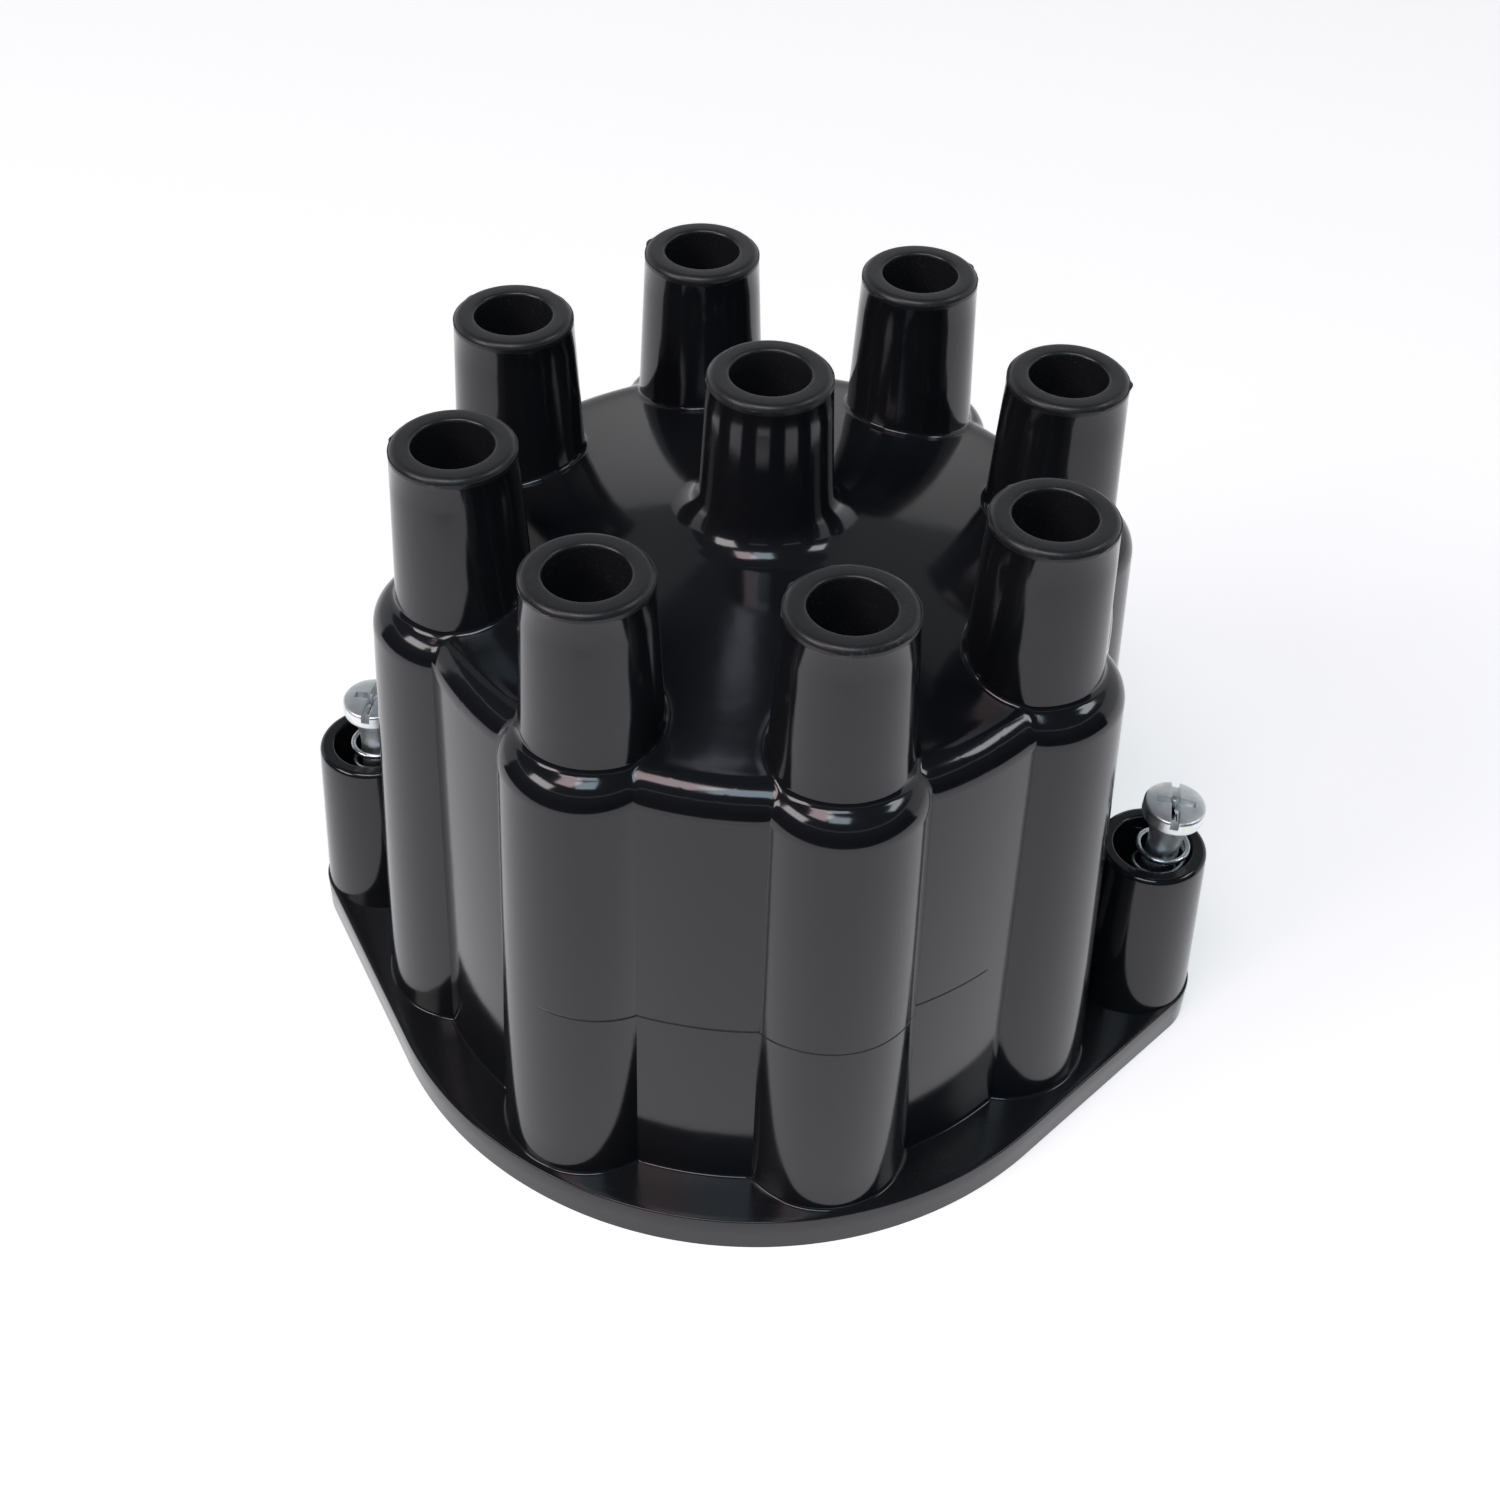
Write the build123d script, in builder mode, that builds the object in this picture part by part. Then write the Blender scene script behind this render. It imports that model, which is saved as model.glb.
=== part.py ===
from build123d import *
import os
from math import cos, radians, tan

# Distributor cap of an eight-cylinder engine, with its terminals, carbon brush and two latches.
# Millimetres, +Z up. The origin is the centre of the flange's lower face, which rests on the
# distributor bowl. The two latches stand on the X axis.

os.makedirs("parts", exist_ok=True)

# Moulded cap: heights of the flange, the shoulder below the towers, the roof and the towers
flange_thickness = 5.6
shoulder_height = 74.0
roof_rise = 7.0
tower_height = 22.1
centre_tower_height = 20.2

# Moulded cap: ring of lead towers, and from it outwards the wall, the flange and the latches
lead_count = 8
first_lead_angle = 22.5
tower_ring = 38.25
tower_to_wall = 6.55
wall_lean = 2.4
flange_width = 7.3
wall_to_latch = 8.8
lug_margin = 0.3

# Half-round column below each lead tower
tower_to_column = 0.85
column_lean = 2.9
column_foot_radius = 11.4
column_top_radius = 10.7
shoulder_round = 4.4

# Towers, their open bores, and the narrower seat of the terminal's cup at the bottom of each
bore_radius = 4.9
tower_rim_wall = 2.7
tower_draft = 2.7
tower_foot_round = 0.5
centre_foot_round = 3.2
rim_round = 0.9
bore_mouth_round = 0.5
cup_step = 0.5
cup_wall = 0.6
cup_depth = 7.0
cup_floor_thickness = 1.2
plug_cup_drop = 2.0
coil_cup_drop = 1.5
terminal_fit = 0.03

# Inside of the cap
register_wall = 2.4
register_depth = 2.4
wall_foot_thickness = 3.8
wall_top_thickness = 3.4
roof_thickness = 6.0
cavity_round = 3.0
post_radius = 2.5
post_boss_wall = 2.7
post_boss_length = 14.0
post_reach = 5.5
post_tip_round = 0.8
centre_boss_wall = 3.4
centre_boss_length = 19.0
coil_stem_radius = 1.8
coil_stem_length = 4.5

# Carbon brush and the spring behind it
brush_radius = 3.0
brush_running_fit = 0.08
brush_length = 7.5
brush_reach = 3.6
brush_nose_round = 1.0
brush_spring_step = 0.6
brush_spring_wire = 0.5
brush_spring_turns = 5

# Latch screw and its spring; each latch leans a little towards +X in its loose hole
right_latch_lean = 3.2
left_latch_lean = 1.8
shank_radius = 2.3
shank_running_fit = 0.05
neck_step = 1.1
neck_length = 5.0
head_step = 0.9
head_height = 2.9
head_round = 0.5
head_stand = 5.8
slot_width = 1.2
slot_depth = 1.4
cross_width = 1.5
cross_length = 4.8
cross_depth = 2.2
spring_wire = 0.8
spring_shank_gap = 0.7
spring_turns = 6
spring_seat_gap = 0.3
spring_grip = 0.1

# Latch bosses
boss_top = 31.6
boss_rim_wall = 2.1
boss_lean = 1.4
boss_rim_round = 0.8
well_spring_gap = 1.6
well_mouth_round = 0.4
well_depth = 19.6

# Hook at the foot of each latch screw, and its pocket under the lug
hook_thickness = 1.4
hook_foot_gap = 0.7
hook_head_room = 0.9
hook_hub_wall = 1.5
hook_reach = 6.6
hook_end_gap = 0.8
hook_arm_width = 5.0
hook_fit = 0.03

# Heights that follow from the sizes above
roof_crown = shoulder_height + roof_rise
tower_top = shoulder_height + tower_height
centre_tower_top = roof_crown + centre_tower_height
plug_cup_floor = shoulder_height - plug_cup_drop
coil_cup_floor = roof_crown - coil_cup_drop
post_boss_end = shoulder_height - post_boss_length
post_tip = post_boss_end - post_reach
centre_boss_end = roof_crown - centre_boss_length
coil_stem_tip = coil_cup_floor - coil_stem_length
brush_top = centre_boss_end - brush_reach + brush_length
ceiling_rim = shoulder_height - roof_thickness
ceiling_crown = roof_crown - roof_thickness
spring_well_floor = boss_top - well_depth
screw_head_seat = boss_top + head_stand
spring_top = screw_head_seat - neck_length + spring_grip
spring_rise = spring_top - spring_well_floor - spring_seat_gap
hook_pocket_depth = hook_foot_gap + hook_thickness + hook_head_room
lean_pivot_height = (spring_well_floor + hook_pocket_depth) / 2

# Radii and places that follow from them
lead_step = 360 / lead_count
wall_top_radius = tower_ring + tower_to_wall
wall_foot_radius = wall_top_radius + wall_lean
column_top_ring = tower_ring + tower_to_column
column_foot_ring = column_top_ring + column_lean
roof_rim_radius = wall_top_radius - shoulder_round
flange_radius = wall_foot_radius + flange_width
latch_x = wall_foot_radius + wall_to_latch
tower_rim_radius = bore_radius + tower_rim_wall
tower_foot_radius = tower_rim_radius + tower_height * tan(radians(tower_draft))
centre_foot_radius = tower_rim_radius + centre_tower_height * tan(radians(tower_draft))
cup_outer_radius = bore_radius - cup_step
cup_seat_radius = cup_outer_radius + terminal_fit
cup_inner_radius = cup_outer_radius - cup_wall
register_radius = wall_foot_radius - register_wall
cavity_mouth_radius = wall_foot_radius - wall_foot_thickness
cavity_top_radius = wall_top_radius - wall_top_thickness
post_boss_radius = post_radius + post_boss_wall
centre_boss_radius = brush_radius + centre_boss_wall
brush_bore_radius = brush_radius + brush_running_fit
brush_spring_radius = brush_radius - brush_spring_step
neck_radius = shank_radius + neck_step
screw_head_radius = neck_radius + head_step
spring_outer_radius = shank_radius + spring_shank_gap + spring_wire
spring_well_radius = spring_outer_radius + well_spring_gap
boss_rim_radius = spring_well_radius + boss_rim_wall
boss_foot_radius = boss_rim_radius + boss_lean
lug_radius = boss_foot_radius + lug_margin
hook_hub_radius = shank_radius + hook_hub_wall
hook_pocket_radius = hook_reach + hook_end_gap
widest_lean = radians(max(abs(right_latch_lean), abs(left_latch_lean)))
shank_hole_half_length = (spring_well_floor - hook_pocket_depth) / 2
shank_hole_radius = (
    shank_radius / cos(widest_lean) + shank_hole_half_length * tan(widest_lean) + shank_running_fit
)

# Two edges whose places or radii differ by less than this are the same when edges are picked
same_place = 0.01


def upright(height):
    """A horizontal sketching plane at the given height."""
    return Plane.XY.offset(height)


def lead_angles():
    """The directions of the lead towers about the cap's axis, in degrees."""
    return [first_lead_angle + lead * lead_step for lead in range(lead_count)]


# The moulded cap, one piece: flange, drafted wall and columns, roof, towers and latch bosses
with BuildPart() as cap_body:
    # Flange: a disc drawn out tangentially to the two latch lugs
    with BuildSketch(upright(0)):
        Circle(flange_radius)
        with Locations((latch_x, 0), (-latch_x, 0)):
            Circle(lug_radius)
        make_hull()
    extrude(amount=flange_thickness)

    # Drafted wall
    with BuildSketch(upright(flange_thickness)):
        Circle(wall_foot_radius)
    with BuildSketch(upright(shoulder_height)):
        Circle(wall_top_radius)
    loft()

    # Column below each lead tower, leaning in with the draft
    for angle in lead_angles():
        with BuildSketch(upright(flange_thickness)):
            with PolarLocations(column_foot_ring, 1, start_angle=angle):
                Circle(column_foot_radius)
        with BuildSketch(upright(shoulder_height)):
            with PolarLocations(column_top_ring, 1, start_angle=angle):
                Circle(column_top_radius)
        loft()
    shoulder_edges = cap_body.faces().sort_by(Axis.Z)[-1].outer_wire().edges()
    fillet(shoulder_edges, shoulder_round)

    # Roof, rising to the centre tower, and the centre tower with its wide round foot
    with BuildSketch(Plane.XZ) as roof_profile:
        with BuildLine():
            Polyline(
                (0, ceiling_rim),
                (roof_rim_radius, ceiling_rim),
                (roof_rim_radius, shoulder_height),
                (centre_foot_radius, roof_crown),
                (tower_rim_radius, centre_tower_top),
                (0, centre_tower_top),
                close=True,
            )
        make_face()
        centre_foot = roof_profile.vertices().sort_by_distance((centre_foot_radius, 0, roof_crown))[0]
        fillet(centre_foot, centre_foot_round)
    revolve(axis=Axis.Z)

    # Lead towers, each with a small round at its foot
    for angle in lead_angles():
        outward = Vector(1, 0, 0).rotate(Axis.Z, angle)
        tower_foot = outward * tower_ring + Vector(0, 0, shoulder_height)
        with BuildSketch(Plane(tower_foot, x_dir=outward, z_dir=outward.cross(Vector(0, 0, 1)))) as profile:
            with BuildLine():
                Polyline(
                    (0, -roof_thickness / 2),
                    (tower_foot_radius + tower_foot_round, -roof_thickness / 2),
                    (tower_foot_radius + tower_foot_round, 0),
                    (tower_foot_radius, 0),
                    (tower_rim_radius, tower_height),
                    (0, tower_height),
                    close=True,
                )
            make_face()
            foot_corner = profile.vertices().sort_by_distance(tower_foot + outward * tower_foot_radius)[0]
            fillet(foot_corner, tower_foot_round)
        revolve(axis=Axis(tower_foot, (0, 0, 1)))

    # Latch bosses
    with Locations((latch_x, 0, flange_thickness), (-latch_x, 0, flange_thickness)):
        Cone(
            boss_foot_radius,
            boss_rim_radius,
            boss_top - flange_thickness,
            align=(Align.CENTER, Align.CENTER, Align.MIN),
        )

    # Rounded rims of the towers and bosses
    rims = cap_body.edges().filter_by(GeomType.CIRCLE)
    tower_rims = rims.filter_by(lambda edge: abs(edge.center().Z - tower_top) < same_place)
    centre_rims = rims.filter_by(lambda edge: abs(edge.center().Z - centre_tower_top) < same_place)
    boss_rims = rims.filter_by(lambda edge: abs(edge.center().Z - boss_top) < same_place)
    fillet(tower_rims + centre_rims, rim_round)
    fillet(boss_rims, boss_rim_round)

    # Inside: the rotor's room, drafted, with a ceiling that follows the roof
    with BuildSketch(Plane.XZ) as cavity:
        with BuildLine():
            Polyline(
                (0, 0),
                (cavity_mouth_radius, 0),
                (cavity_top_radius, ceiling_rim),
                (centre_foot_radius, ceiling_crown),
                (0, ceiling_crown),
                close=True,
            )
        make_face()
        fillet(cavity.vertices().group_by(Axis.X)[-2], cavity_round)
    revolve(axis=Axis.Z, mode=Mode.SUBTRACT)

    # Register at the mouth, which centres the cap on the bowl
    with BuildSketch(upright(0)):
        Circle(register_radius)
    extrude(amount=register_depth, mode=Mode.SUBTRACT)

    # Bosses inside the roof that hold the posts and the carbon brush
    with BuildSketch(upright(post_boss_end)):
        with PolarLocations(tower_ring, lead_count, start_angle=first_lead_angle):
            Circle(post_boss_radius)
    extrude(amount=shoulder_height - post_boss_end)
    with BuildSketch(upright(centre_boss_end)):
        Circle(centre_boss_radius)
    extrude(amount=roof_crown - centre_boss_end)

    # Lead bores: open bore, cup seat and the hole for the post
    with BuildSketch(upright(tower_top)):
        with PolarLocations(tower_ring, lead_count, start_angle=first_lead_angle):
            Circle(bore_radius)
    extrude(amount=-(tower_top - plug_cup_floor - cup_depth), mode=Mode.SUBTRACT)
    with BuildSketch(upright(plug_cup_floor)):
        with PolarLocations(tower_ring, lead_count, start_angle=first_lead_angle):
            Circle(cup_seat_radius)
    extrude(amount=cup_depth, mode=Mode.SUBTRACT)
    with BuildSketch(upright(post_tip)):
        with PolarLocations(tower_ring, lead_count, start_angle=first_lead_angle):
            Circle(post_radius + terminal_fit)
    extrude(amount=plug_cup_floor - post_tip, mode=Mode.SUBTRACT)

    # Centre bore: open bore, cup seat, hole for the stem and the brush's bore below it
    with BuildSketch(upright(centre_tower_top)):
        Circle(bore_radius)
    extrude(amount=-(centre_tower_top - coil_cup_floor - cup_depth), mode=Mode.SUBTRACT)
    with BuildSketch(upright(coil_cup_floor)):
        Circle(cup_seat_radius)
    extrude(amount=cup_depth, mode=Mode.SUBTRACT)
    with BuildSketch(upright(coil_stem_tip)):
        Circle(coil_stem_radius + terminal_fit)
    extrude(amount=coil_cup_floor - coil_stem_tip, mode=Mode.SUBTRACT)
    with BuildSketch(upright(centre_boss_end)):
        Circle(brush_bore_radius)
    extrude(amount=coil_stem_tip - centre_boss_end, mode=Mode.SUBTRACT)

    # Spring wells, shank holes and the pockets for the hooks
    with Locations((latch_x, 0), (-latch_x, 0)):
        with Locations((0, 0, boss_top)):
            Cylinder(
                spring_well_radius,
                boss_top - spring_well_floor,
                align=(Align.CENTER, Align.CENTER, Align.MAX),
                mode=Mode.SUBTRACT,
            )
        Cylinder(
            shank_hole_radius,
            spring_well_floor,
            align=(Align.CENTER, Align.CENTER, Align.MIN),
            mode=Mode.SUBTRACT,
        )
        Cylinder(
            hook_pocket_radius,
            hook_pocket_depth,
            align=(Align.CENTER, Align.CENTER, Align.MIN),
            mode=Mode.SUBTRACT,
        )

    # Rounded mouths of the bores and wells
    mouths = cap_body.edges().filter_by(GeomType.CIRCLE)
    bore_mouths = mouths.filter_by(
        lambda edge: edge.center().Z > tower_top - same_place and abs(edge.radius - bore_radius) < same_place
    )
    boss_mouths = mouths.filter_by(lambda edge: abs(edge.center().Z - boss_top) < same_place)
    well_mouths = boss_mouths.filter_by(lambda edge: abs(edge.radius - spring_well_radius) < same_place)
    fillet(bore_mouths, bore_mouth_round)
    fillet(well_mouths, well_mouth_round)

cap_body.part.label = "cap_body"
export_step(cap_body.part, "parts/cap_body.step")

# Plug-lead terminals, one turned piece each: a cup in the tower and a post down into the cap
for lead, angle in enumerate(lead_angles()):
    with BuildPart() as plug_terminal:
        with BuildSketch(upright(plug_cup_floor)):
            with PolarLocations(tower_ring, 1, start_angle=angle):
                Circle(cup_outer_radius)
        extrude(amount=cup_depth)
        with BuildSketch(upright(plug_cup_floor + cup_floor_thickness)):
            with PolarLocations(tower_ring, 1, start_angle=angle):
                Circle(cup_inner_radius)
        extrude(amount=cup_depth - cup_floor_thickness, mode=Mode.SUBTRACT)
        with BuildSketch(upright(post_tip)):
            with PolarLocations(tower_ring, 1, start_angle=angle):
                Circle(post_radius)
        extrude(amount=plug_cup_floor - post_tip)
        fillet(plug_terminal.edges().sort_by(Axis.Z)[0], post_tip_round)
    plug_terminal.part.label = f"plug_terminal_{lead + 1}"
    export_step(plug_terminal.part, f"parts/plug_terminal_{lead + 1}.step")

# Coil-lead terminal: a cup in the centre tower and a short stem that the brush spring presses on
with BuildPart() as coil_terminal:
    with BuildSketch(upright(coil_cup_floor)):
        Circle(cup_outer_radius)
    extrude(amount=cup_depth)
    with BuildSketch(upright(coil_cup_floor + cup_floor_thickness)):
        Circle(cup_inner_radius)
    extrude(amount=cup_depth - cup_floor_thickness, mode=Mode.SUBTRACT)
    with BuildSketch(upright(coil_stem_tip)):
        Circle(coil_stem_radius)
    extrude(amount=coil_cup_floor - coil_stem_tip)
coil_terminal.part.label = "coil_terminal"
export_step(coil_terminal.part, "parts/coil_terminal.step")

# Carbon brush: a rod that slides in the centre boss and touches the rotor with its rounded nose
with BuildPart() as carbon_brush:
    with BuildSketch(upright(brush_top - brush_length)):
        Circle(brush_radius)
    extrude(amount=brush_length)
    fillet(carbon_brush.edges().sort_by(Axis.Z)[0], brush_nose_round)
carbon_brush.part.label = "carbon_brush"
export_step(carbon_brush.part, "parts/carbon_brush.step")


def coil_spring(seat, outer_radius, wire, turns, rise):
    """A round-wire spring that stands on the given plane, with the given height over its wire."""
    centre_rise = rise - wire
    start = seat.offset(wire / 2)
    with BuildPart() as spring:
        with BuildLine() as coil:
            Helix(
                pitch=centre_rise / turns,
                height=centre_rise,
                radius=outer_radius - wire / 2,
                center=start.origin,
                direction=seat.z_dir,
            )
        with BuildSketch(Plane(origin=coil.line @ 0, z_dir=coil.line % 0)):
            Circle(wire / 2)
        sweep(is_frenet=True)
    return spring.part


# Brush spring, between the coil terminal's stem and the brush
brush_spring_rise = coil_stem_tip - brush_top - 2 * spring_seat_gap
brush_spring = coil_spring(
    upright(brush_top + spring_seat_gap),
    brush_spring_radius,
    brush_spring_wire,
    brush_spring_turns,
    brush_spring_rise,
)
brush_spring.label = "brush_spring"
export_step(brush_spring, "parts/brush_spring.step")


def leaned(side_x, lean, height):
    """A plane square to a latch's leaning axis, at the given distance along it above the flange's foot."""
    axis = Vector(0, 0, 1).rotate(Axis.Y, lean)
    pivot = Vector(side_x, 0, lean_pivot_height)
    return Plane(origin=pivot + axis * (height - lean_pivot_height), x_dir=Vector(0, 1, 0), z_dir=axis)


for side, side_x, lean in (
    ("right", latch_x, right_latch_lean),
    ("left", -latch_x, left_latch_lean),
):
    # Latch screw: slotted and cross-recessed head, conical neck, plain shank down into the hook
    with BuildPart() as screw:
        with BuildSketch(leaned(side_x, lean, hook_foot_gap)):
            Circle(shank_radius)
        extrude(amount=screw_head_seat - hook_foot_gap)
        with BuildSketch(leaned(side_x, lean, screw_head_seat - neck_length)):
            Circle(shank_radius)
        with BuildSketch(leaned(side_x, lean, screw_head_seat)):
            Circle(neck_radius)
        loft()
        with BuildSketch(leaned(side_x, lean, screw_head_seat)):
            Circle(screw_head_radius)
        extrude(amount=head_height)
        circles = screw.edges().filter_by(GeomType.CIRCLE)
        head_rims = circles.filter_by(lambda edge: abs(edge.radius - screw_head_radius) < same_place)
        fillet(head_rims, head_round)
        head_top = leaned(side_x, lean, screw_head_seat + head_height)
        with BuildSketch(head_top):
            Rectangle(2 * (screw_head_radius + head_round), slot_width)
        extrude(amount=-slot_depth, mode=Mode.SUBTRACT)
        with BuildSketch(head_top):
            Rectangle(cross_width, cross_length)
            Rectangle(cross_length, cross_width)
        extrude(amount=-cross_depth, mode=Mode.SUBTRACT)
    screw.part.label = f"{side}_latch_screw"
    export_step(screw.part, f"parts/{side}_latch_screw.step")

    # Hook: a flat plate staked on the foot of the screw, with one arm that grips the bowl
    with BuildPart() as hook:
        with BuildSketch(leaned(side_x, lean, hook_foot_gap)):
            Circle(hook_hub_radius)
            with Locations((hook_reach / 2 - hook_arm_width / 4, 0)):
                Rectangle(hook_reach - hook_arm_width / 2, hook_arm_width)
            with Locations((hook_reach - hook_arm_width / 2, 0)):
                Circle(hook_arm_width / 2)
            Circle(shank_radius + hook_fit, mode=Mode.SUBTRACT)
        extrude(amount=hook_thickness)
    hook.part.label = f"{side}_latch_hook"
    export_step(hook.part, f"parts/{side}_latch_hook.step")

    # Latch spring, from the floor of the well up to the screw's neck
    latch_spring = coil_spring(
        leaned(side_x, lean, spring_well_floor + spring_seat_gap),
        spring_outer_radius,
        spring_wire,
        spring_turns,
        spring_rise,
    )
    latch_spring.label = f"{side}_latch_spring"
    export_step(latch_spring, f"parts/{side}_latch_spring.step")
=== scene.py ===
import math

import bmesh
import bpy
import numpy as np
from mathutils import Matrix, Vector


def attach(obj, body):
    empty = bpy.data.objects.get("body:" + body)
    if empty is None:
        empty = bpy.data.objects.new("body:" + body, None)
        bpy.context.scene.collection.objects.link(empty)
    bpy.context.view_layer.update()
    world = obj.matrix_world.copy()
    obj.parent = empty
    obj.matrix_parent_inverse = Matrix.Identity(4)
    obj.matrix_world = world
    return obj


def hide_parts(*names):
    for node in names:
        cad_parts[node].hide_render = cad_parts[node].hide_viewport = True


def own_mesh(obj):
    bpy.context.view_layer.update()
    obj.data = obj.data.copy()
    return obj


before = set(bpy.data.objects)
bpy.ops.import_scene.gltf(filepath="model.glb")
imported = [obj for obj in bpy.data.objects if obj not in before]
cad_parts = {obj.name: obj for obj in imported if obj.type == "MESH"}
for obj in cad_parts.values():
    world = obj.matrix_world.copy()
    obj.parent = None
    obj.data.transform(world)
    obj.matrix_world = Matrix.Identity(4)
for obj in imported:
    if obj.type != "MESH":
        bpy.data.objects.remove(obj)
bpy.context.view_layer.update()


# The table: white paper laid flat and curved up into a low wall all round, dark studio above its edge.
# It glows a little for the camera and in gloss, so the ground stays white and keeps the cap's shadow.
# Round the front lies a black sheet for the dark side of the room, and above the paper at the back a
# dim wall that glows grey. Both are seen in gloss only, as painted reflections: they give the cap its black
# shoulders and the flange its grey sheen.
PAPER_REACH = 2.6
PAPER_CURVE = 0.9
PAPER_WALL = 1.5
PAPER_WHITE = (0.86, 0.86, 0.86, 1.0)
PAPER_GLOW = 0.57
APRON_NEAR_X, APRON_NEAR_Y, APRON_FAR, APRON_TOP = 0.26, 0.18, 1.5, 0.8
APRON_SWEEP, APRON_FADE = (-185, 5), (0.02, 0.6)
BACK_WALL_TOP, BACK_SWEEP, BACK_FADE = 3.8, (20, 160), (1.2, 1.5)
SHEET_GAP = 0.001
APRON_BLACK, APRON_GLOW_GREY, BACK_SHEEN_GLOW = (0, 0, 0, 1), (0.05, 0.058, 0.07, 1), (0.25, 0.262, 0.27, 1)


class Shade:
    """A socket in a material. Arithmetic on it adds Math nodes, and node() adds any other node."""

    def __init__(self, socket):
        self.socket = socket
        self.tree = socket.id_data

    def node(self, kind, settings=(), sockets=(), out=0):
        """Adds a node of this kind: its settings first, then the values or links of its sockets."""
        made = self.tree.nodes.new(kind)
        for name, value in dict(settings).items():
            if name == "stops":
                ramp = made.color_ramp.elements
                ramp[0].position, ramp[0].color = value[0]
                ramp[1].position, ramp[1].color = value[-1]
                for place, colour in value[1:-1]:
                    ramp.new(place).color = colour
            else:
                setattr(made, name, value)
        for name, value in dict(sockets).items():
            if isinstance(value, Shade):
                self.tree.links.new(value.socket, made.inputs[name])
            else:
                made.inputs[name].default_value = value
        return Shade(made.outputs[out])

    def maths(self, operation, a, b):
        return self.node("ShaderNodeMath", {"operation": operation}, {0: a, 1: b})

    def __add__(self, other):
        return self.maths("ADD", self, other)

    __radd__ = __add__

    def __sub__(self, other):
        return self.maths("SUBTRACT", self, other)

    def __rsub__(self, other):
        return self.maths("SUBTRACT", other, self)

    def __mul__(self, other):
        return self.maths("MULTIPLY", self, other)

    __rmul__ = __mul__

    def most(self, other):
        return self.maths("MAXIMUM", self, other)

    def ramp(self, low, high):
        """0 below low, 1 above high, and straight between them."""
        return self.node(
            "ShaderNodeMapRange", {"clamp": True}, {"Value": self, "From Min": low, "From Max": high}
        )

    def noise(self, scale, detail=3.0, roughness=0.55):
        """Soft noise at these coordinates, with scale waves to the metre."""
        return self.node(
            "ShaderNodeTexNoise",
            sockets={"Vector": self, "Scale": scale, "Detail": detail, "Roughness": roughness},
        )

    def tint(self, first, second):
        """The first colour where this is 0, the second where it is 1."""
        return self.node("ShaderNodeMix", {"data_type": "RGBA"}, {0: self, 6: first, 7: second}, out=2)

    def relief(self, depth):
        """A bumped normal from this height, where 1 stands depth metres proud."""
        return self.node("ShaderNodeBump", sockets={"Height": self, "Distance": depth}, out=0)


def new_material(name, sockets=()):
    """A material with its surface shader's plain values set, its shader, and its object coordinates."""
    material = bpy.data.materials.new(name)
    material.use_nodes = True
    surface = material.node_tree.nodes["Principled BSDF"]
    for socket, value in dict(sockets).items():
        surface.inputs[socket].default_value = value
    where = Shade(material.node_tree.nodes.new("ShaderNodeTexCoord").outputs["Object"])
    return material, surface, where


def dress(surface, sockets):
    """Links each named socket of a surface shader."""
    for name, shade in sockets.items():
        shade.tree.links.new(shade.socket, surface.inputs[name])


def quads(rows, columns, around=False):
    """Faces between neighbouring rows and columns of a grid; around joins the last column to the first."""
    row = np.arange(rows - 1)[:, None] * columns
    column = np.arange(columns if around else columns - 1)[None, :]
    after = (column + 1) % columns
    corners = [row + column, row + after, row + columns + after, row + columns + column]
    return np.stack(np.broadcast_arrays(*corners), -1).reshape(-1, 4)


def turned(profile, steps=96, centre=(0.0, 0.0)):
    """A profile of (radius, height) rows turned about an upright axis: x and y are the radius times the
    cosine and sine of the angle. Faces point outwards where the profile climbs on the outside."""
    profile = np.asarray(profile, float)
    angle = np.linspace(0, 2 * np.pi, steps, endpoint=False)
    x = centre[0] + profile[:, :1] * np.cos(angle)
    y = centre[1] + profile[:, :1] * np.sin(angle)
    z = np.repeat(profile[:, 1:], steps, 1)
    return np.stack([x, y, z], -1), quads(len(profile), steps, around=True)


def skin(name, sheets, crease=30.0, merge=0.002, unit=0.001):
    """One mesh object from sheets of points and faces. Sheets are in millimetres unless a unit is given;
    points closer than merge become one, and edges sharper than the crease angle stay sharp."""
    points, corners, sizes, start = [], [], [], 0
    for sheet_points, sheet_faces in sheets:
        flat = np.asarray(sheet_points, float).reshape(-1, 3)
        faces = np.asarray(sheet_faces)
        points.append(flat)
        corners.append(faces.ravel() + start)
        sizes.append(np.full(len(faces), faces.shape[1]))
        start += len(flat)
    points, corners, sizes = np.concatenate(points) * unit, np.concatenate(corners), np.concatenate(sizes)
    mesh = bpy.data.meshes.new(name)
    mesh.vertices.add(len(points))
    mesh.vertices.foreach_set("co", points.ravel())
    mesh.loops.add(len(corners))
    mesh.loops.foreach_set("vertex_index", corners)
    mesh.polygons.add(len(sizes))
    mesh.polygons.foreach_set("loop_start", np.cumsum(sizes) - sizes)
    mesh.update(calc_edges=True)
    work = bmesh.new()
    work.from_mesh(mesh)
    bmesh.ops.remove_doubles(work, verts=work.verts, dist=merge * unit)
    bmesh.ops.dissolve_degenerate(work, edges=work.edges, dist=merge * unit)
    work.to_mesh(mesh)
    work.free()
    mesh.shade_smooth()
    mesh.set_sharp_from_angle(angle=math.radians(crease))
    piece = bpy.data.objects.new(name, mesh)
    bpy.context.collection.objects.link(piece)
    return piece


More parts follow.
